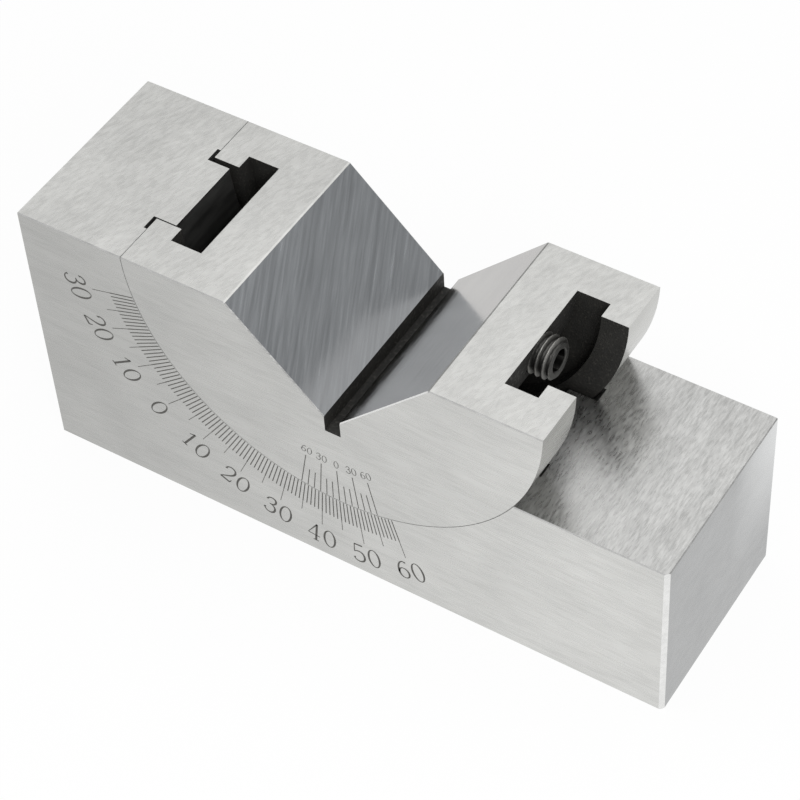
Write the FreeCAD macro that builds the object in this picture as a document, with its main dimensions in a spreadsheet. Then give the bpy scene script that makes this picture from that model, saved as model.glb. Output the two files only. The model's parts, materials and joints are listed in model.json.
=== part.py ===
import FreeCAD, Part
import math
import os

import Sketcher
from FreeCAD import Placement, Rotation, Vector

# Adjustable-angle V block. A steel base carries a half-round rotor in an arc seat, and the
# rotor's 90 degree vee tilts about the arc's centre. Millimetres. X runs along the base
# towards its low step, Y from the graduated front to the back, Z up. The origin is the
# middle of the base's underside, and the rotor stands with its vee upright.

SIZES = {
    # Base block
    "base_length": 98.5,
    "base_width": 30.0,
    "base_height": 44.3,  # tall left end, level with the rotor's lands
    "step_height": 28.9,  # low right end
    "edge_break": 0.15,  # stoned edges
    "corner_break": 0.6,  # front vertical edge of the low end
    # Rotor and its seat
    "axis_from_end": 48.9,  # tilting axis, from the tall end
    "axis_rise": 1.1,  # tilting axis above the lands
    "rotor_radius": 31.85,
    "seat_gap": 0.08,  # running fit of the rotor in its seat
    # Arc tongue left standing in the seat, with a grinding relief on each side of its root
    "tongue_width": 12.4,
    "tongue_height": 3.1,
    "tongue_front_gap": 0.2,
    "tongue_back_gap": 0.85,
    "relief_width": 2.4,
    "relief_depth": 0.5,
    # Circular T-slot round the rotor
    "lip_thickness": 4.0,
    "slot_width": 18.3,
    "slot_space": 4.85,
    # Vee
    "vee_opening": 30.8,
    "vee_groove_width": 2.45,
    "vee_groove_depth": 1.55,  # below the point where the vee's faces would meet
    # Clamp nut, a curved shoe inside the T-slot
    "nut_length": 10.0,
    "nut_width": 17.5,
    "nut_seat_gap": 0.1,  # off the lips when the clamp is eased
    "nut_top_gap": 0.7,
    # Clamp screw, a socket head cap screw from below, set to the left of the axis
    "clamp_offset": 6.8,
    "clamp_diameter": 6.0,
    "clamp_end_gap": 1.23,  # its end below the slot's inner wall, which makes it 16 long
    "clamp_head_diameter": 10.0,
    "clamp_head_height": 6.0,
    "clamp_hex_size": 5.0,
    "clamp_hex_depth": 3.0,
    "clamp_hole_diameter": 6.6,
    "clamp_bore_diameter": 11.0,
    "clamp_bore_depth": 6.2,
    # Stop screw, a socket set screw across the right end of the T-slot
    "stop_diameter": 6.0,
    "stop_length": 8.0,
    "stop_drop": 3.15,  # its centre below the land
    "stop_reach": 25.6,  # its hex end from the tilting axis
    "stop_hex_size": 3.0,
    "stop_hex_depth": 3.5,
    "stop_hole_spare": 1.0,  # tapped hole beyond the screw's point
    # Screws
    "thread_gap": 0.05,  # radial gap of a screw in its tapped hole
    "screw_chamfer": 0.5,
}

# Places and sizes that follow from the cells above, as expressions on the sheet.
AXIS_X = "(Sizes.axis_from_end - Sizes.base_length / 2)"
AXIS_Z = "(Sizes.base_height + Sizes.axis_rise)"
SEAT_RADIUS = "(Sizes.rotor_radius + Sizes.seat_gap)"
TONGUE_RADIUS = f"({SEAT_RADIUS} - Sizes.tongue_height)"
TONGUE_MIDDLE = "((Sizes.tongue_back_gap - Sizes.tongue_front_gap) / 2)"
LIP_RADIUS = "(Sizes.rotor_radius - Sizes.lip_thickness)"
SLOT_RADIUS = f"({LIP_RADIUS} - Sizes.slot_space)"
MOUTH_WIDTH = "(Sizes.tongue_width + Sizes.tongue_front_gap + Sizes.tongue_back_gap)"
CLAMP_X = f"({AXIS_X} - Sizes.clamp_offset)"
CLAMP_TOP = f"({AXIS_Z} - sqrt({SLOT_RADIUS}^2 - Sizes.clamp_offset^2) - Sizes.clamp_end_gap)"
STOP_Z = "(-Sizes.axis_rise - Sizes.stop_drop)"

OVERCUT = "1"  # how far a cutter runs past a face, or a root into its parent


def make_sheet(doc):
    """Write the driving sizes into the spreadsheet, one alias to a row."""
    sheet = doc.addObject("Spreadsheet::Sheet", "Sizes")
    for row, (alias, size) in enumerate(SIZES.items(), start=1):
        sheet.set(f"A{row}", alias.replace("_", " "))
        sheet.set(f"B{row}", str(size))
        sheet.setAlias(f"B{row}", alias)
    doc.recompute()
    return sheet


def value(expression):
    """Work out an expression on the sheet."""
    return float(FreeCAD.ActiveDocument.Sizes.evalExpression(expression))


def make_body(doc, label, x="0", z="0"):
    """Start a sub-part whose own origin stands at x, z in the part's frame."""
    body = doc.addObject("PartDesign::Body", label)
    body.Label = label
    body.setExpression("Placement.Base.x", x)
    body.setExpression("Placement.Base.z", z)
    return body


def make_sketch(body, name, role, out="0"):
    """Attach a sketch to one of the body's origin planes, moved out along its normal."""
    sketch = body.newObject("Sketcher::SketchObject", name)
    plane = next(item for item in body.Origin.OriginFeatures if item.Role == role)
    sketch.AttachmentSupport = [(plane, "")]
    sketch.MapMode = "FlatFace"
    sketch.setExpression("AttachmentOffset.Base.z", out)
    return sketch


def bind(sketch, kind, geometry, expression):
    """Add a dimension and let the sheet drive it."""
    index = sketch.addConstraint(Sketcher.Constraint(kind, *geometry, value(expression)))
    sketch.setExpression(f"Constraints[{index}]", expression)


def place(sketch, side, end, across=None, up=None):
    """Hold one end of a side at a distance across and up from the sketch's origin."""
    for kind, axis, expression in (("DistanceX", -2, across), ("DistanceY", -1, up)):
        if expression is None:
            continue
        if expression == "0":
            sketch.addConstraint(Sketcher.Constraint("PointOnObject", side, end, axis))
        else:
            bind(sketch, kind, (-1, 1, side, end), expression)


def draw_outline(sketch, corners, arcs=None):
    """Draw a closed outline through corners given as expressions.

    arcs maps a side's number to (centre x, centre y, radius). Its arc passes below the
    centre, and its corners are held by their height and the radius alone.
    """
    arcs = arcs or {}
    count = len(corners)
    points = [Vector(value(x), value(y), 0) for x, y in corners]
    starts = []
    ends = []
    for side, start in enumerate(points):
        end = points[(side + 1) % count]
        if side in arcs:
            x, y, radius = arcs[side]
            centre = Vector(value(x), value(y), 0)
            left, right = sorted((start, end), key=lambda point: point.x)
            circle = Part.Circle(centre, Vector(0, 0, 1), value(radius))
            angles = [math.atan2(p.y - centre.y, p.x - centre.x) for p in (left, right)]
            sketch.addGeometry(Part.ArcOfCircle(circle, *angles))
            backward = start.x > end.x
        else:
            sketch.addGeometry(Part.LineSegment(start, end))
            backward = False
        starts.append((side, 2 if backward else 1))
        ends.append((side, 1 if backward else 2))
    for side in range(count):
        following = starts[(side + 1) % count]
        sketch.addConstraint(Sketcher.Constraint("Coincident", *ends[side], *following))
    for corner, (x, y) in enumerate(corners):
        meets_arc = corner in arcs or (corner - 1) % count in arcs
        place(sketch, *starts[corner], None if meets_arc else x, y)
    for side, (x, y, radius) in arcs.items():
        place(sketch, side, 3, x, y)
        bind(sketch, "Radius", (side,), radius)


def draw_circle(sketch, x, y, diameter):
    """Draw a circle about a point given as expressions."""
    centre = Vector(value(x), value(y), 0)
    sketch.addGeometry(Part.Circle(centre, Vector(0, 0, 1), value(diameter) / 2))
    place(sketch, 0, 3, x, y)
    bind(sketch, "Diameter", (0,), diameter)


def draw_hexagon(sketch, across_flats):
    """Draw a hexagon about the sketch's origin, with a corner on its horizontal axis."""
    corner = f"({across_flats} / sqrt(3))"
    half = f"({across_flats} / 2)"
    corners = [
        (corner, "0"),
        (f"{corner} / 2", half),
        (f"-{corner} / 2", half),
        (f"-{corner}", "0"),
        (f"-{corner} / 2", f"-{half}"),
        (f"{corner} / 2", f"-{half}"),
    ]
    draw_outline(sketch, corners)


def add_feature(body, kind, name, sketch, **settings):
    """Add a PartDesign feature on a sketch, binding each setting given as text."""
    feature = body.newObject(f"PartDesign::{kind}", name)
    feature.Profile = sketch
    for setting, given in settings.items():
        if isinstance(given, str) and setting not in ("SideType", "Type", "DepthType"):
            feature.setExpression(setting, given)
        else:
            setattr(feature, setting, given)
    FreeCAD.ActiveDocument.recompute()
    return feature


def revolve(body, kind, name, sketch, axis):
    """Turn a sketch once round one of its own axes."""
    feature = add_feature(body, kind, name, sketch, ReferenceAxis=(sketch, [axis]))
    feature.Angle = 360
    FreeCAD.ActiveDocument.recompute()
    return feature


def break_edges(body, name, size, wanted):
    """Chamfer the tip's straight edges whose two ends both satisfy wanted."""
    tip = body.Tip
    names = []
    for number, edge in enumerate(tip.Shape.Edges, start=1):
        straight = edge.Curve.TypeId == "Part::GeomLine"
        if straight and wanted(*[vertex.Point for vertex in edge.Vertexes]):
            names.append(f"Edge{number}")
    chamfer = body.newObject("PartDesign::Chamfer", name)
    chamfer.Base = (tip, names)
    chamfer.setExpression("Size", size)
    FreeCAD.ActiveDocument.recompute()
    return chamfer


def same(first, second):
    """Say whether two lengths are equal to within a micrometre."""
    return abs(first - second) < 0.001


def draw_seat_ring(sketch, inner, outer):
    """Draw the band between two radii, cut off level at the tall end and at the step."""
    low = "Sizes.step_height"
    high = "Sizes.base_height"

    def corner(radius, height, sign):
        return (f"{AXIS_X} {sign} sqrt({radius}^2 - ({AXIS_Z} - {height})^2)", height)

    corners = [
        corner(outer, high, "-"),
        corner(inner, high, "-"),
        corner(inner, low, "+"),
        corner(outer, low, "+"),
    ]
    draw_outline(sketch, corners, {1: (AXIS_X, AXIS_Z, inner), 3: (AXIS_X, AXIS_Z, outer)})


def make_base_block(doc):
    """The base: one ground block with an arc seat, its tongue and the clamp screw's hole."""
    body = make_body(doc, "base_block")

    side = make_sketch(body, "BaseSide", "XZ_Plane")
    left = "-Sizes.base_length / 2"
    right = "Sizes.base_length / 2"
    low = "Sizes.step_height"
    high = "Sizes.base_height"
    corners = [
        (left, "0"),
        (right, "0"),
        (right, low),
        (f"{AXIS_X} + sqrt({SEAT_RADIUS}^2 - ({AXIS_Z} - {low})^2)", low),
        (f"{AXIS_X} - sqrt({SEAT_RADIUS}^2 - ({AXIS_Z} - {high})^2)", high),
        (left, high),
    ]
    draw_outline(side, corners, {3: (AXIS_X, AXIS_Z, SEAT_RADIUS)})
    add_feature(body, "Pad", "BasePad", side, SideType="Symmetric", Length="Sizes.base_width")

    end = value(right)
    front = value("-Sizes.base_width / 2")
    top = value("Sizes.base_height")
    step = value("Sizes.step_height")

    def low_front_corner(a, b):
        return all(same(p.x, end) and same(p.y, front) for p in (a, b))

    def outer_edge(a, b):
        middle = (a + b) / 2
        planes = (
            same(abs(middle.x), end),
            same(abs(middle.y), -front),
            same(middle.z, 0) or same(middle.z, top) or same(middle.z, step),
        )
        return sum(planes) == 2

    break_edges(body, "LowCornerBreak", "Sizes.corner_break", low_front_corner)
    break_edges(body, "BaseEdgeBreak", "Sizes.edge_break", outer_edge)

    relief = make_sketch(body, "ReliefSide", "XZ_Plane", TONGUE_MIDDLE)
    draw_seat_ring(relief, LIP_RADIUS, f"({SEAT_RADIUS} + Sizes.relief_depth)")
    relief_span = "Sizes.tongue_width + 2 * Sizes.relief_width"
    add_feature(body, "Pocket", "RootRelief", relief, SideType="Symmetric", Length=relief_span)

    tongue = make_sketch(body, "TongueSide", "XZ_Plane", TONGUE_MIDDLE)
    draw_seat_ring(tongue, TONGUE_RADIUS, f"({SEAT_RADIUS} + Sizes.relief_depth + {OVERCUT})")
    add_feature(body, "Pad", "Tongue", tongue, SideType="Symmetric", Length="Sizes.tongue_width")

    clamp = make_sketch(body, "ClampCentre", "XY_Plane")
    draw_circle(clamp, CLAMP_X, "0", "Sizes.clamp_hole_diameter")
    hole = add_feature(body, "Hole", "ClampHole", clamp, Reversed=True, DepthType="ThroughAll")
    hole.HoleCutType = "Counterbore"
    hole.HoleCutCustomValues = True
    hole.setExpression("Diameter", "Sizes.clamp_hole_diameter")
    hole.setExpression("HoleCutDiameter", "Sizes.clamp_bore_diameter")
    hole.setExpression("HoleCutDepth", "Sizes.clamp_bore_depth")
    doc.recompute()
    return body


def make_v_rotor(doc):
    """The rotor: a half-round block with the vee above and the T-slot round its arc."""
    body = make_body(doc, "v_rotor", AXIS_X, AXIS_Z)

    side = make_sketch(body, "RotorSide", "XZ_Plane")
    land = "-Sizes.axis_rise"
    half_vee = "Sizes.vee_opening / 2"
    half_groove = "Sizes.vee_groove_width / 2"
    face_foot = f"{land} - {half_vee} + {half_groove}"
    groove_floor = f"{land} - {half_vee} - Sizes.vee_groove_depth"
    land_end = "sqrt(Sizes.rotor_radius^2 - Sizes.axis_rise^2)"
    corners = [
        (f"-{half_vee}", land),
        (f"-{half_groove}", face_foot),
        (f"-{half_groove}", groove_floor),
        (half_groove, groove_floor),
        (half_groove, face_foot),
        (half_vee, land),
        (land_end, land),
        (f"-{land_end}", land),
    ]
    draw_outline(side, corners, {6: ("0", "0", "Sizes.rotor_radius")})
    add_feature(body, "Pad", "RotorPad", side, SideType="Symmetric", Length="Sizes.base_width")

    width = value("Sizes.base_width / 2")
    level = value(land)
    mouth = value(half_vee)

    def land_or_vee_edge(a, b):
        on_side = same(abs(a.y), width) and same(a.y, b.y)
        reaches_land = same(max(a.z, b.z), level)
        across = same(abs(a.x), mouth) and same(a.x, b.x) and same(a.z, level)
        return (on_side and reaches_land) or across

    break_edges(body, "RotorEdgeBreak", "Sizes.edge_break", land_or_vee_edge)

    slot = make_sketch(body, "SlotSection", "YZ_Plane")
    half_mouth = f"{MOUTH_WIDTH} / 2"
    half_slot = "Sizes.slot_width / 2"
    outside = f"-(Sizes.rotor_radius + {OVERCUT})"
    corners = [
        (f"-{half_mouth}", outside),
        (half_mouth, outside),
        (half_mouth, f"-{LIP_RADIUS}"),
        (half_slot, f"-{LIP_RADIUS}"),
        (half_slot, f"-{SLOT_RADIUS}"),
        (f"-{half_slot}", f"-{SLOT_RADIUS}"),
        (f"-{half_slot}", f"-{LIP_RADIUS}"),
        (f"-{half_mouth}", f"-{LIP_RADIUS}"),
    ]
    draw_outline(slot, corners)
    revolve(body, "Groove", "RoundSlot", slot, "H_Axis")

    stop_end = "Sizes.stop_reach - Sizes.stop_length - Sizes.stop_hole_spare"
    stop = make_sketch(body, "StopCentre", "YZ_Plane", stop_end)
    draw_circle(stop, "0", STOP_Z, "Sizes.stop_diameter + 2 * Sizes.thread_gap")
    depth = "Sizes.stop_length + Sizes.stop_hole_spare"
    add_feature(body, "Pocket", "StopHole", stop, Reversed=True, Length=depth)
    return body


def make_clamp_nut(doc):
    """The clamp nut: a curved shoe that bears on both lips of the T-slot from inside."""
    body = make_body(doc, "clamp_nut", AXIS_X, AXIS_Z)
    side = make_sketch(body, "NutSide", "XZ_Plane")
    inner = f"({SLOT_RADIUS} + Sizes.nut_top_gap)"
    outer = f"({LIP_RADIUS} - Sizes.nut_seat_gap)"
    left = "(-Sizes.clamp_offset - Sizes.nut_length / 2)"
    right = "(-Sizes.clamp_offset + Sizes.nut_length / 2)"

    def foot(radius, x):
        return (x, f"-sqrt({radius}^2 - {x}^2)")

    ends = ((outer, left), (outer, right), (inner, right), (inner, left))
    points = [Vector(*[value(part) for part in foot(*end)], 0) for end in ends]
    origin = Vector(0, 0, 0)
    normal = Vector(0, 0, 1)

    def arc(radius, first, last):
        circle = Part.Circle(origin, normal, value(radius))
        return Part.ArcOfCircle(circle, *[math.atan2(p.y, p.x) for p in (first, last)])

    side.addGeometry(arc(outer, points[0], points[1]))
    side.addGeometry(Part.LineSegment(points[1], points[2]))
    side.addGeometry(arc(inner, points[3], points[2]))
    side.addGeometry(Part.LineSegment(points[3], points[0]))
    for first, second in (((0, 2), (1, 1)), ((1, 2), (2, 2)), ((2, 1), (3, 1)), ((3, 2), (0, 1))):
        side.addConstraint(Sketcher.Constraint("Coincident", *first, *second))
    for line in (1, 3):
        side.addConstraint(Sketcher.Constraint("Vertical", line))
    for number, radius in ((0, outer), (2, inner)):
        side.addConstraint(Sketcher.Constraint("Coincident", number, 3, -1, 1))
        bind(side, "Radius", (number,), radius)
    place(side, 0, 2, right)
    place(side, 0, 1, left)
    add_feature(body, "Pad", "NutPad", side, SideType="Symmetric", Length="Sizes.nut_width")

    thread = make_sketch(body, "NutThread", "XY_Plane")
    draw_circle(thread, "-Sizes.clamp_offset", "0", "Sizes.clamp_diameter + 2 * Sizes.thread_gap")
    add_feature(body, "Pocket", "NutHole", thread, Type="ThroughAll")
    return body


def make_clamp_screw(doc):
    """The clamp screw: a socket head cap screw, its head seated in the base's counterbore."""
    body = make_body(doc, "clamp_screw", CLAMP_X, "Sizes.clamp_bore_depth")
    section = make_sketch(body, "ClampSection", "XZ_Plane")
    head = "Sizes.clamp_head_diameter / 2"
    shank = "Sizes.clamp_diameter / 2"
    length = f"({CLAMP_TOP} - Sizes.clamp_bore_depth)"
    bevel = "Sizes.screw_chamfer"
    corners = [
        ("0", "-Sizes.clamp_head_height"),
        (f"{head} - {bevel}", "-Sizes.clamp_head_height"),
        (head, f"-Sizes.clamp_head_height + {bevel}"),
        (head, "0"),
        (shank, "0"),
        (shank, f"{length} - {bevel}"),
        (f"{shank} - {bevel}", length),
        ("0", length),
    ]
    draw_outline(section, corners)
    revolve(body, "Revolution", "ClampTurned", section, "V_Axis")
    socket = make_sketch(body, "ClampHex", "XY_Plane", "-Sizes.clamp_head_height")
    draw_hexagon(socket, "Sizes.clamp_hex_size")
    add_feature(body, "Pocket", "ClampSocket", socket, Reversed=True, Length="Sizes.clamp_hex_depth")
    return body


def make_stop_screw(doc):
    """The stop screw: a socket set screw in the rotor, its hex end standing in the T-slot."""
    body = make_body(doc, "stop_screw", f"{AXIS_X} + Sizes.stop_reach", f"{AXIS_Z} + {STOP_Z}")
    section = make_sketch(body, "StopSection", "XZ_Plane")
    radius = "Sizes.stop_diameter / 2"
    bevel = "Sizes.screw_chamfer"
    corners = [
        ("0", "0"),
        ("0", f"{radius} - {bevel}"),
        (f"-{bevel}", radius),
        (f"-Sizes.stop_length + {bevel}", radius),
        ("-Sizes.stop_length", f"{radius} - {bevel}"),
        ("-Sizes.stop_length", "0"),
    ]
    draw_outline(section, corners)
    revolve(body, "Revolution", "StopTurned", section, "H_Axis")
    socket = make_sketch(body, "StopHex", "YZ_Plane")
    draw_hexagon(socket, "Sizes.stop_hex_size")
    add_feature(body, "Pocket", "StopSocket", socket, Length="Sizes.stop_hex_depth")
    return body


def check(doc, bodies):
    """Stop if a feature failed or a sub-part is not one sound solid."""
    for item in doc.Objects:
        if {"Invalid", "Error"} & set(item.State):
            raise RuntimeError(f"{item.Name} did not build: {item.State}")
    for body in bodies:
        if body.Shape.isNull() or not body.Shape.isValid() or len(body.Shape.Solids) != 1:
            raise RuntimeError(f"{body.Label} is not one valid solid")


def main():
    doc = FreeCAD.newDocument("VBlock")
    make_sheet(doc)
    bodies = [
        make_base_block(doc),
        make_v_rotor(doc),
        make_clamp_nut(doc),
        make_clamp_screw(doc),
        make_stop_screw(doc),
    ]
    doc.recompute()
    check(doc, bodies)
    os.makedirs("parts", exist_ok=True)
    for body in bodies:
        body.Shape.exportStep(f"parts/{body.Label}.step")
        print(f"{body.Label}: {body.Shape.Volume:.1f} mm3, {len(body.Shape.Faces)} faces")


main()
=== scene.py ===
import json
import math

import bmesh
import bpy
from mathutils import Matrix, Vector


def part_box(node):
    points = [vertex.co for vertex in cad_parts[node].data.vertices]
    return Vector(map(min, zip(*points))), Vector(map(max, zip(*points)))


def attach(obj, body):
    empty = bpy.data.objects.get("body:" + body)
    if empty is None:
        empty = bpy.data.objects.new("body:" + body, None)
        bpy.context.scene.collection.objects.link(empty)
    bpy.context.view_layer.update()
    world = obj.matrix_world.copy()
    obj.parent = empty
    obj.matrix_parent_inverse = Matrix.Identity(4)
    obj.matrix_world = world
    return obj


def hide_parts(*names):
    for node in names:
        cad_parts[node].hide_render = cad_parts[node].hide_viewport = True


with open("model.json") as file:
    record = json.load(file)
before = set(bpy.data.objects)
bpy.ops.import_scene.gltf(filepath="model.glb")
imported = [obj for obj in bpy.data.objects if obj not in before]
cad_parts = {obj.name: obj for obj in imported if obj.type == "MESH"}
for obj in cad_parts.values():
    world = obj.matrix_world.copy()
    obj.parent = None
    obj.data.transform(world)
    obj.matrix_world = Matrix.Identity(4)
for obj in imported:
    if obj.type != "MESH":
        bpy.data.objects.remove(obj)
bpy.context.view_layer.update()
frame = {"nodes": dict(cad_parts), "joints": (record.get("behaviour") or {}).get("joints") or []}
nodes = frame["nodes"]
MM = 0.001

# --- Base block ---------------------------------------------------------------------------
# A hardened steel block, ground all over: fine lines run along the front and back, and
# coarser ones cross the low step. The rotor's arc seat is milled and left darker.

base_low, base_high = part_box("base_block")
rotor_low, rotor_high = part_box("v_rotor")
land_top = rotor_high.z
front = base_low.y
back = base_high.y


class Signal:
    """A socket of a material's nodes. Arithmetic on it adds Math nodes."""

    def __init__(self, tree, socket=None):
        self.tree = tree
        self.socket = socket

    def node(self, kind, settings=None, inputs=None, output=0):
        """Add a node, make its settings, feed its sockets and return one of its outputs."""
        made = self.tree.nodes.new(kind)
        for name, setting in (settings or {}).items():
            if name == "stops":
                ramp = made.color_ramp.elements
                for place, (position, grey) in enumerate(setting):
                    stop = ramp[place] if place < 2 else ramp.new(position)
                    stop.position = position
                    stop.color = (grey, grey, grey, 1)
            else:
                setattr(made, name, setting)
        for name, given in (inputs or {}).items():
            if isinstance(given, Signal):
                self.tree.links.new(given.socket, made.inputs[name])
            else:
                made.inputs[name].default_value = given
        return Signal(self.tree, made.outputs[output])

    def math(self, operation, first, second=0.0):
        return self.node("ShaderNodeMath", {"operation": operation}, {0: first, 1: second})

    def __add__(self, other):
        return self.math("ADD", self, other)

    def __mul__(self, other):
        return self.math("MULTIPLY", self, other)

    def __sub__(self, other):
        return self.math("SUBTRACT", self, other)

    def __rsub__(self, other):
        return self.math("SUBTRACT", other, self)

    __radd__ = __add__
    __rmul__ = __mul__

    def above(self, edge, softness):
        """0 below an edge and 1 above it, with a soft step between."""
        span = {"From Min": edge - softness, "From Max": edge + softness}
        return self.node("ShaderNodeMapRange", {}, {"Value": self, **span})


def start_material(name):
    """A new material: its shader, a signal to build on, and the place on the piece."""
    made = bpy.data.materials.new(name)
    made.use_nodes = True
    shader = made.node_tree.nodes["Principled BSDF"]
    start = Signal(made.node_tree)
    place = start.node("ShaderNodeTexCoord", output=3)
    return made, shader, start, place


def stretched(place, along):
    """The place on the piece, scaled by different amounts along X, Y and Z."""
    settings = {"operation": "MULTIPLY"}
    return place.node("ShaderNodeVectorMath", settings, {0: place, 1: along})


def noise(place, scale, detail=2.0, distortion=0.0):
    """Cloudy noise, about 0.5 on average."""
    inputs = {"Vector": place, "Scale": scale, "Detail": detail, "Distortion": distortion}
    return place.node("ShaderNodeTexNoise", {}, inputs)


def tint(dark, light, factor):
    """Mix two colours."""
    inputs = {0: factor, 6: (*dark, 1), 7: (*light, 1)}
    return factor.node("ShaderNodeMix", {"data_type": "RGBA"}, inputs, output=2)


def connect(made, shader, name, signal):
    made.node_tree.links.new(signal.socket, shader.inputs[name])


def ground_steel(name, colour, lay, contrast, roughness=0.28, lighter=None):
    """Ground steel. lay is the direction of its lines, then their length and width in mm.
    lighter takes the place and gives a factor on the colour, which paints light and shade on it."""
    made, shader, start, place = start_material(name)
    direction = Vector(lay[0]).normalized()
    across = direction.cross(Vector((0.1, 0.0, 1.0))).normalized()
    turn = Matrix((across, direction, across.cross(direction))).to_euler()
    turned = start.node("ShaderNodeMapping", {}, {"Vector": place, "Rotation": turn})
    grain = [1000 / lay[2], 1000 / lay[1], 1000 / lay[2]]
    lines = noise(stretched(turned, grain), 1, 3, 0.3)
    broad = noise(stretched(turned, [each * 0.22 for each in grain]), 1, 2, 0.5)
    clouds = noise(place, 90, 2)
    shade = 0.5 + contrast * (1.2 * lines + 0.5 * broad - 0.85) + 0.45 * (clouds - 0.5)
    colour = tint([each * 0.78 for each in colour], [each * 1.22 for each in colour], shade)
    if lighter:
        grey = start.node("ShaderNodeCombineXYZ", {}, dict.fromkeys((0, 1, 2), lighter(place)))
        colour = stretched(colour, grey)
    connect(made, shader, "Base Color", colour)
    connect(made, shader, "Roughness", roughness + 0.3 * (lines - 0.5))
    bump = {"Strength": 0.3, "Distance": 0.00002, "Height": lines}
    connect(made, shader, "Normal", start.node("ShaderNodeBump", {}, bump))
    shader.inputs["Metallic"].default_value = 1.0
    return made


def along(place, axis):
    """One coordinate of a place."""
    return place.node("ShaderNodeSeparateXYZ", {}, {0: place}, output=axis)


# Painted light: the front, back and bottom faces of base and rotor are coloured lighter towards the right end, from
# 0.78 to 1.16 times.
def side_light(place):
    return 0.78 + 0.38 * along(place, 0).above(-0.005, 0.042)


# Painted highlight: the end faces are coloured up to 1.87 times lighter at their top back corner.
def end_light(place):
    return 0.92 + 0.95 * along(place, 1).above(0.009, 0.006) * along(place, 2).above(0.016, 0.011)


ALONG_X = (1, 0, 0)
ALONG_Y = (0, 1, 0)

front_finish = ground_steel("ground_side", (0.55, 0.55, 0.535), (ALONG_X, 4, 0.38), 0.6, 0.28, side_light)
land_finish = ground_steel("ground_land", (0.62, 0.62, 0.603), ((0.3, 1, 0), 1.5, 0.5), 0.9)
step_finish = ground_steel("ground_step", (0.52, 0.52, 0.51), (ALONG_Y, 1.5, 0.3), 1.9, 0.3)
# The end faces' darker colour than the other ground faces is painted shade.
end_finish = ground_steel("ground_end", (0.39, 0.395, 0.395), (ALONG_Y, 2, 0.9), 0.4, 0.28, end_light)
# Painted highlight: the small chamfers that break the edges are coloured lighter than the faces beside them.
edge_highlight_finish = ground_steel("painted_edge_highlight", (0.8, 0.8, 0.79), (ALONG_X, 2, 0.5), 0.6)
seat_finish = ground_steel("milled_seat", (0.33, 0.33, 0.32), (ALONG_Y, 9, 1.2), 1.5, 0.42)


def dress(node, finishes, pick):
    """Give each face of a CAD node one of the finishes."""
    piece = nodes[node]
    piece.data.materials.clear()
    for finish in finishes:
        piece.data.materials.append(finish)
    for face in piece.data.polygons:
        face.material_index = finishes.index(pick(face.normal, face.center))
    return piece


def base_face(normal, centre):
    if abs(normal.y) > 0.9 and abs(abs(centre.y) - back) < 0.2 * MM:
        return front_finish
    if normal.z > 0.9 and centre.z > land_top - 0.2 * MM:
        return land_finish
    if normal.z > 0.9 and centre.x > rotor_high.x - 6 * MM:
        return step_finish
    if abs(normal.x) > 0.9 and abs(centre.x) > base_high.x - 0.7 * MM:
        return end_finish
    if normal.z < -0.9 and centre.z < 0.2 * MM:
        return front_finish
    outside = max(abs(centre.x) - base_high.x, abs(centre.y) - back) > -0.7 * MM
    return edge_highlight_finish if outside else seat_finish


base_finishes = [
    front_finish, land_finish, step_finish, end_finish, edge_highlight_finish, seat_finish
]
dress("base_block", base_finishes, base_face)

# --- Degree scale -------------------------------------------------------------------------
# Lines and numerals cut into the base's front round the seat, filled with black: one line a
# degree from -30 to 60, longer at every 5 and 10. A reading of 45 is straight below the axis.

axis = Vector(frame["joints"][0]["pos_m"]) if "pos_m" in frame["joints"][0] else Vector()
seat_radius = 31.93 * MM
ink_depth = 0.012 * MM


def black_fill():
    made, shader, start, place = start_material("black_fill")
    worn = noise(place, 2500, 3)
    connect(made, shader, "Base Color", tint((0.035, 0.034, 0.03), (0.13, 0.125, 0.115), worn))
    connect(made, shader, "Roughness", 0.5 + 0.3 * worn)
    return made


ink = black_fill()
thin_ink = black_fill()


def on_face(radius, degrees, across=0.0, up=0.0):
    """A point of the front face, by its radius from the axis and its angle from straight
    down. across and up are offsets on a numeral standing there, its top to the axis."""
    turn = math.radians(degrees)
    outward = Vector((math.sin(turn), 0, -math.cos(turn)))
    along = Vector((math.cos(turn), 0, math.sin(turn)))
    return Vector((axis.x, front, axis.z)) + outward * (radius - up) + along * across


def lay_strip(mesh, rails):
    """Add a strip of ink between pairs of points on the front face."""
    rows = []
    for pair in rails:
        rows.append([mesh.verts.new(point - Vector((0, ink_depth, 0))) for point in pair])
    for first, second in zip(rows, rows[1:]):
        mesh.faces.new((first[0], first[1], second[1], second[0]))


def finish_piece(mesh, name, body, slot, *materials):
    """Turn a bmesh into a piece that rides on a body."""
    bmesh.ops.recalc_face_normals(mesh, faces=mesh.faces)
    data = bpy.data.meshes.new(name)
    mesh.to_mesh(data)
    mesh.free()
    for material in materials:
        data.materials.append(material)
    piece = bpy.data.objects.new(name, data)
    bpy.context.scene.collection.objects.link(piece)
    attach(piece, body)
    return piece


def scale_line(mesh, degrees, start, end, width):
    pair = (-width / 2, width / 2)
    lay_strip(mesh, [[on_face(r, degrees, across) for across in pair] for r in (start, end)])


rest_reading = 45
line_start = seat_radius + 0.1 * MM
scale_mesh = bmesh.new()
for reading in range(-30, 61):
    turn = reading - rest_reading
    scale_line(scale_mesh, turn, line_start, 36.1 * MM, 0.15 * MM)
    if reading % 5 == 0:
        end = 39.2 * MM if reading % 10 == 0 else 38.15 * MM
        scale_line(scale_mesh, turn, 36.1 * MM, end, 0.09 * MM)
finish_piece(scale_mesh, "degree_lines", "base", "black_oxide_steel", ink)


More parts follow.
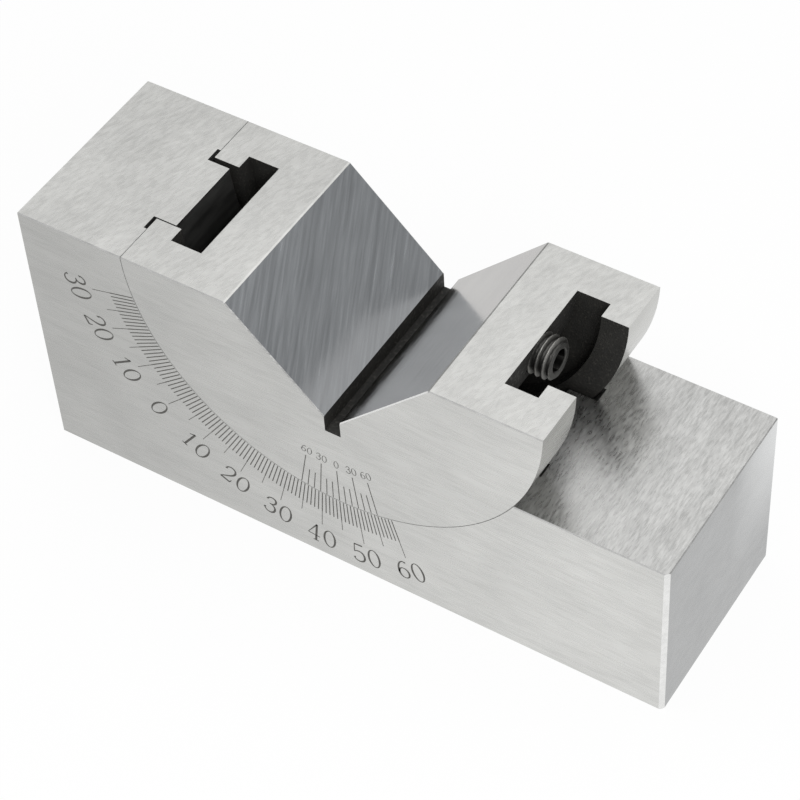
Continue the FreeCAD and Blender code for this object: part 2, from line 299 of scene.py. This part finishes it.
def bend(a, b, c, d, steps=10):
    """Points of a cubic curve from a to d, each with its stroke's weight."""
    points = []
    for step in range(steps + 1):
        t = step / steps
        weights = ((1 - t) ** 3, 3 * t * (1 - t) ** 2, 3 * t * t * (1 - t), t ** 3)
        points.append([sum(w * p[i] for w, p in zip(weights, (a, b, c, d))) for i in range(3)])
    return points


def oval(x, y, wide, high, thin, thick, steps=28):
    """Points round an oval stroke, thin at its top and bottom."""
    points = []
    for step in range(steps + 1):
        turn = math.tau * step / steps
        weight = thin + (thick - thin) * abs(math.cos(turn)) ** 1.5
        points.append([x + wide * math.cos(turn), y + high * math.sin(turn), weight])
    return points


def line(*points):
    return [list(point) for point in points]


# Each numeral as its strokes, in a cell one high: across, up and weight.
NUMERALS = {
    "0": [oval(0, 0.5, 0.235, 0.475, 0.035, 0.085)],
    "1": [
        line((0.03, 0.99, 0.09), (0.03, 0.03, 0.09)),
        line((0.03, 0.97, 0.05), (-0.15, 0.80, 0.03)),
        line((-0.10, 0.02, 0.04), (0.16, 0.02, 0.04)),
    ],
    "2": [
        line((-0.20, 0.76, 0.10), (-0.18, 0.72, 0.10)),
        bend((-0.20, 0.76, 0.06), (-0.17, 1.04, 0.04), (0.24, 1.06, 0.07), (0.22, 0.70, 0.09)),
        bend((0.22, 0.70, 0.09), (0.20, 0.45, 0.07), (-0.10, 0.25, 0.05), (-0.22, 0.03, 0.04)),
        line((-0.22, 0.04, 0.08), (0.20, 0.04, 0.08)),
        line((0.20, 0.04, 0.06), (0.24, 0.20, 0.03)),
    ],
    "3": [
        line((-0.20, 0.80, 0.09), (-0.18, 0.76, 0.09)),
        bend((-0.20, 0.80, 0.05), (-0.12, 1.03, 0.04), (0.20, 1.03, 0.08), (0.18, 0.77, 0.09)),
        bend((0.18, 0.77, 0.09), (0.17, 0.60, 0.07), (0.05, 0.55, 0.04), (-0.06, 0.55, 0.03)),
        bend((-0.06, 0.55, 0.03), (0.10, 0.56, 0.05), (0.23, 0.46, 0.08), (0.23, 0.28, 0.09)),
        bend((0.23, 0.28, 0.09), (0.23, -0.04, 0.08), (-0.16, -0.06, 0.04), (-0.22, 0.20, 0.05)),
        line((-0.22, 0.22, 0.09), (-0.19, 0.18, 0.09)),
    ],
    "4": [
        line((0.09, 0.99, 0.06), (-0.26, 0.32, 0.03)),
        line((-0.26, 0.31, 0.035), (0.26, 0.31, 0.035)),
        line((0.09, 0.99, 0.09), (0.09, 0.03, 0.09)),
        line((-0.02, 0.02, 0.04), (0.21, 0.02, 0.04)),
    ],
    "5": [
        line((-0.15, 0.97, 0.07), (0.20, 0.97, 0.07)),
        line((-0.15, 0.97, 0.04), (-0.19, 0.52, 0.04)),
        bend((-0.19, 0.52, 0.04), (0.00, 0.68, 0.05), (0.24, 0.60, 0.08), (0.24, 0.30, 0.09)),
        bend((0.24, 0.30, 0.09), (0.24, -0.03, 0.08), (-0.15, -0.08, 0.04), (-0.23, 0.16, 0.05)),
        line((-0.23, 0.20, 0.09), (-0.20, 0.16, 0.09)),
    ],
    "6": [
        oval(0.01, 0.29, 0.215, 0.265, 0.035, 0.085),
        bend((-0.205, 0.29, 0.09), (-0.24, 0.72, 0.08), (0.02, 1.04, 0.04), (0.18, 0.88, 0.05)),
        line((0.16, 0.90, 0.08), (0.19, 0.86, 0.08)),
    ],
}


def cut_numeral(mesh, digit, radius, degrees, height, shift):
    """Lay one numeral's strokes on the front face, its foot at a radius."""
    for stroke in NUMERALS[digit]:
        rails = []
        for step, (across, up, weight) in enumerate(stroke):
            before = stroke[max(step - 1, 0)]
            after = stroke[min(step + 1, len(stroke) - 1)]
            run = Vector((after[0] - before[0], after[1] - before[1])).normalized()
            pair = []
            for side in (-0.5, 0.5):
                x = (across - run.y * side * weight) * height + shift
                y = (up + run.x * side * weight) * height
                pair.append(on_face(radius, degrees, x, y))
            rails.append(pair)
        lay_strip(mesh, rails)


def cut_label(mesh, text, radius, degrees, height, pitch):
    """Lay a label's numerals side by side, each square to its own radius."""
    for place, digit in enumerate(text):
        offset = (place - (len(text) - 1) / 2) * pitch
        cut_numeral(mesh, digit, radius, degrees + math.degrees(offset / radius), height, 0)


label_mesh = bmesh.new()
for reading in range(-30, 61, 10):
    turn = reading - rest_reading
    cut_label(label_mesh, str(abs(reading)), 43.6 * MM, turn, 3.7 * MM, 2.62 * MM)
finish_piece(label_mesh, "degree_numerals", "base", "black_oxide_steel", ink)

# --- Rotor --------------------------------------------------------------------------------
# The half-round steel block that carries the vee, ground on its lands, faces and arc. The
# circular T-slot and the relief at the foot of the vee are left black from hardening.

rotor_low, rotor_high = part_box("v_rotor")

STREAKS = (0.37, -0.85, -0.37)

# The vee's two faces are one steel; the difference in their colours is painted light and shade.
vee_left_finish = ground_steel("ground_vee_left", (0.48, 0.5, 0.52), (STREAKS, 9, 0.45), 0.9, 0.2)
vee_right_finish = ground_steel("ground_vee_right", (0.43, 0.42, 0.41), (ALONG_Y, 4, 0.5), 0.5, 0.18)
arc_finish = ground_steel("ground_arc", (0.52, 0.52, 0.50), (ALONG_Y, 5, 0.5), 0.8)


def black_scale(name):
    """The black skin of hardening on milled steel, rough and specked."""
    made, shader, start, place = start_material(name)
    specks = noise(place, 2200, 4)
    patches = noise(place, 350, 2)
    shade = specks.above(0.66, 0.1) * 0.6 + 0.25 * patches
    connect(made, shader, "Base Color", tint((0.008, 0.008, 0.007), (0.09, 0.085, 0.075), shade))
    connect(made, shader, "Roughness", 0.75 - 0.35 * specks.above(0.6, 0.15))
    bump = {"Strength": 0.6, "Distance": 0.00006, "Height": specks + 0.5 * patches}
    connect(made, shader, "Normal", start.node("ShaderNodeBump", {}, bump))
    shader.inputs["Metallic"].default_value = 0.0
    return made


scale_finish = black_scale("black_scale")
root_half = 1.3 * MM
arc_radius = (rotor_high.x - rotor_low.x) / 2


def rotor_face(normal, centre):
    if abs(normal.y) > 0.9 and abs(centre.y) > back - 0.2 * MM:
        return front_finish
    if abs(centre.y) > back - 0.2 * MM and abs(normal.y) > 0.2:
        return edge_highlight_finish
    if normal.z > 0.6 and centre.z > land_top - 0.2 * MM:
        return land_finish if normal.z > 0.9 else edge_highlight_finish
    if abs(centre.x - axis.x) < root_half:
        return scale_finish if abs(normal.x) > 0.9 or normal.z > 0.9 else arc_finish
    if normal.z > 0.5 and abs(abs(normal.x) - abs(normal.z)) < 0.05 and centre.z > 25 * MM:
        return vee_left_finish if normal.x > 0 else vee_right_finish
    reach = math.hypot(centre.x - axis.x, centre.z - axis.z)
    return arc_finish if reach > arc_radius - 0.5 * MM else scale_finish


rotor_finishes = [
    front_finish, land_finish, edge_highlight_finish, vee_left_finish, vee_right_finish, arc_finish,
    scale_finish,
]
dress("v_rotor", rotor_finishes, rotor_face)

# Vernier: twelve divisions of 1 degree 50 minutes, which split a degree into ten minutes.
vernier_mesh = bmesh.new()
for step in range(-6, 7):
    turn = step * 11 / 6
    start = 25.65 * MM if step % 3 == 0 else 28.35 * MM
    scale_line(vernier_mesh, turn, start, arc_radius - 0.1 * MM, 0.13 * MM)
finish_piece(vernier_mesh, "vernier_lines", "rotor", "black_oxide_steel", ink)

vernier_labels = bmesh.new()
for step, text in ((-6, "60"), (-3, "30"), (0, "0"), (3, "30"), (6, "60")):
    cut_label(vernier_labels, text, 25.05 * MM, step * 11 / 6, 1.4 * MM, 0.95 * MM)
finish_piece(vernier_labels, "vernier_numerals", "rotor", "black_oxide_steel", ink)

# --- Screws and nut -----------------------------------------------------------------------
# A black M6 socket set screw stands in the T-slot's right end. The clamp nut and its cap
# screw are black too and sit out of sight inside the block.


def black_oxide(name, crest=0.12):
    """Black oxide on machined steel, rubbed lighter where it is handled."""
    made, shader, start, place = start_material(name)
    rubbed = noise(place, 1400, 3)
    connect(made, shader, "Base Color", tint((0.02, 0.02, 0.02), (crest, crest, crest), rubbed))
    connect(made, shader, "Roughness", 0.3 + 0.3 * rubbed)
    shader.inputs["Metallic"].default_value = 0.9
    return made


oxide = black_oxide("black_oxide")
for node in ("clamp_nut", "clamp_screw"):
    dress(node, [oxide], lambda normal, centre: oxide)

# The stop screw's thread runs its whole length. Its hex end is turned square and ringed by a
# bright edge where the key goes in.
stop_low, stop_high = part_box("stop_screw")
stop_radius = (stop_high.z - stop_low.z) / 2
stop_length = stop_high.x - stop_low.x
stop_middle = (stop_low + stop_high) / 2
pitch = 1.0 * MM
thread_depth = 0.55 * MM
around = 72


def thread_radius(depth, turn):
    """The screw's radius at a depth behind its hex end and a turn round its axis."""
    phase = (depth / pitch - turn / math.tau) % 1.0
    flank = min(max((abs(phase - 0.5) - 0.07) / 0.30, 0.0), 1.0)
    chamfer = min(depth, stop_length - depth) + 2.5 * MM
    return min(stop_radius - thread_depth * flank, chamfer)


def hexagon(across_flats):
    """A radius that follows a hexagon with a corner at the top."""
    def radius(depth, turn):
        return across_flats / 2 / math.cos((turn + math.pi / 6) % (math.pi / 3) - math.pi / 6)
    return radius


def ring(radius):
    return lambda depth, turn: radius


screw_mesh = bmesh.new()
rings = [(stop_length - step * stop_length / 128, thread_radius) for step in range(129)]
rings += [(0.0, ring(1.85 * MM)), (0.15 * MM, hexagon(3.0 * MM)), (3.4 * MM, hexagon(3.0 * MM))]
rows = []
for depth, radius in rings:
    row = []
    for step in range(around):
        turn = math.tau * step / around
        reach = radius(depth, turn)
        across = Vector((0, math.cos(turn), math.sin(turn))) * reach
        middle = Vector((stop_high.x - depth, stop_middle.y, stop_middle.z))
        row.append(screw_mesh.verts.new(middle + across))
    rows.append(row)
for first, second in zip(rows, rows[1:]):
    for step in range(around):
        after = (step + 1) % around
        screw_mesh.faces.new((first[step], first[after], second[after], second[step]))
screw_mesh.faces.new(rows[0])
screw_mesh.faces.new(rows[-1])


def rubbed_thread(name):
    """Black oxide worn to dull steel on the crests, black down in the roots and socket."""
    made, shader, start, place = start_material(name)
    off = [0, -stop_middle.y, -stop_middle.z]
    centred = place.node("ShaderNodeVectorMath", {"operation": "ADD"}, {0: place, 1: off})
    flat = stretched(centred, (0, 1, 1))
    reach = flat.node("ShaderNodeVectorMath", {"operation": "LENGTH"}, {0: flat}, output=1)
    rubbed = noise(place, 2600, 3)
    crest = reach.above(stop_radius - 0.2 * MM, 0.25 * MM) * (0.35 + 0.9 * rubbed)
    rim = reach.above(1.62 * MM, 0.1 * MM) * 0.25
    connect(made, shader, "Base Color", tint((0.012, 0.012, 0.011), (0.30, 0.295, 0.28), crest + rim))
    connect(made, shader, "Roughness", 0.28 + 0.3 * rubbed)
    shader.inputs["Metallic"].default_value = 0.9
    return made


stop_piece = finish_piece(
    screw_mesh, "stop_screw_thread", "rotor", "black_oxide_steel", rubbed_thread("stop_oxide"))
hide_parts("stop_screw")

# --- Bench, light and camera --------------------------------------------------------------
# A plain pale bench top, soft light all round, one small lamp at the front right, and the
# camera.

floor_data = bpy.data.meshes.new("bench")
half = 1.5
floor_data.from_pydata([(-half, -half, 0), (half, -half, 0), (half, half, 0), (-half, half, 0)], [], [(0, 1, 2, 3)])
floor = bpy.data.objects.new("bench", floor_data)
bpy.context.scene.collection.objects.link(floor)
paper, shader, start, place = start_material("bench_paper")
shader.inputs["Base Color"].default_value = (0.85, 0.85, 0.85, 1)
shader.inputs["Roughness"].default_value = 0.9
output = paper.node_tree.nodes["Material Output"]
seen = start.node("ShaderNodeLightPath", output="Is Camera Ray")
for kind in ("Is Glossy Ray", "Is Transmission Ray"):
    seen = seen.math("MAXIMUM", seen, start.node("ShaderNodeLightPath", output=kind))
glow = start.node("ShaderNodeEmission", {}, {"Color": (1, 1, 1, 1), "Strength": 1.0})
plain = Signal(paper.node_tree, shader.outputs[0])
mixed = start.node("ShaderNodeMixShader", {}, {0: seen * 0.93, 1: plain, 2: glow})
paper.node_tree.links.new(mixed.socket, output.inputs[0])
floor_data.materials.append(paper)

world = bpy.data.worlds.new("studio")
bpy.context.scene.world = world
world.use_nodes = True
sky = Signal(world.node_tree)
direction = sky.node("ShaderNodeTexCoord", output=0)
height = sky.node("ShaderNodeSeparateXYZ", {}, {0: direction}, output=2)
glow = 0.37 + 1.0 * height.above(0.66, 0.2)
background = world.node_tree.nodes["Background"]
world.node_tree.links.new(glow.socket, background.inputs["Strength"])
background.inputs["Color"].default_value = (1, 1, 1, 1)


def add_lamp(name, place, size, power):
    data = bpy.data.lights.new(name, "AREA")
    data.size = size
    data.energy = power
    lamp = bpy.data.objects.new(name, data)
    lamp.location = place
    lamp.rotation_euler = (-Vector(place)).to_track_quat("-Z", "Y").to_euler()
    bpy.context.scene.collection.objects.link(lamp)


add_lamp("key_lamp", (0.22, -0.22, 0.27), 0.12, 0.5)
bpy.context.scene.view_settings.view_transform = "Standard"

camera_data = bpy.data.cameras.new("camera")
camera = bpy.data.objects.new("camera", camera_data)
bpy.context.scene.collection.objects.link(camera)
bpy.context.scene.camera = camera
camera_data.lens = 120.05
camera_data.sensor_width = 36
camera_data.shift_x = -0.044
camera_data.shift_y = -0.0116
camera_data.clip_start = 0.01
right = Vector((0.85148, 0.52304, -0.03763))
down = Vector((0.36994, -0.65000, -0.66380))
forward = Vector((-0.37166, 0.55129, -0.74696))
turned = Matrix((right, -down, -forward)).transposed()
camera.matrix_world = Matrix.Translation((0.138595, -0.196638, 0.291163)) @ turned.to_4x4()
